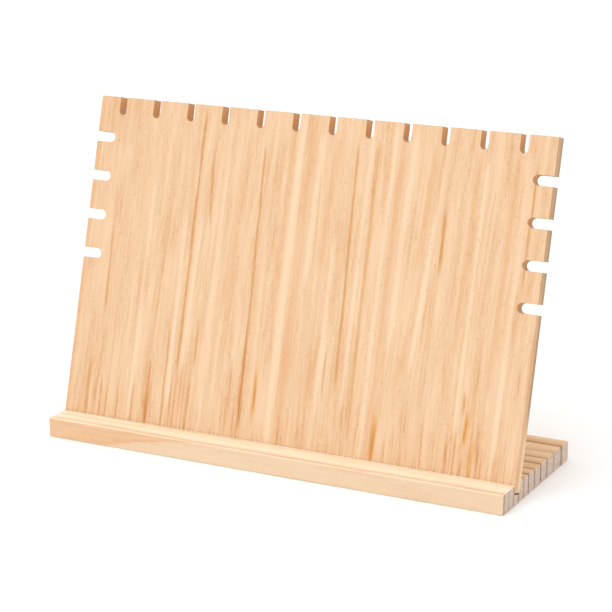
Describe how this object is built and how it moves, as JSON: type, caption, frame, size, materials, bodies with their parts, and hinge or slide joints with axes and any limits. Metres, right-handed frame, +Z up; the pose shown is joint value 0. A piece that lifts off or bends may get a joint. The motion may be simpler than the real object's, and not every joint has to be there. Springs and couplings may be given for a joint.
{
  "type": "notched display stand",
  "caption": "Free-standing wooden display stand: a leaning panel with notched top and side edges lifts out of a slanting groove in a flat plank base.",
  "frame": {"origin": "centre of the base's underside, on the table top", "axes": "+X along the stand to the right as seen from the front, -Y towards the front that the panel shows, +Z up; the panel leans back towards +Y"},
  "size_m": [0.3, 0.1, 0.1993],
  "materials": {
    "base_pine": "bare planed pine, matte",
    "left_board_pine": "bare sanded pine, matte",
    "middle_board_pine": "bare sanded pine, matte",
    "right_board_pine": "bare sanded pine, matte"
  },
  "bodies": {
    "base": {"base_plank": "base_pine"},
    "panel": {"left_board": "left_board_pine", "middle_board": "middle_board_pine", "right_board": "right_board_pine"}
  },
  "joints": [
    {"name": "panel_lift", "type": "slide", "parent": "base", "child": "panel", "axis": [0, 0.284, 0.9588], "range_m": [0, 0.03]}
  ]
}
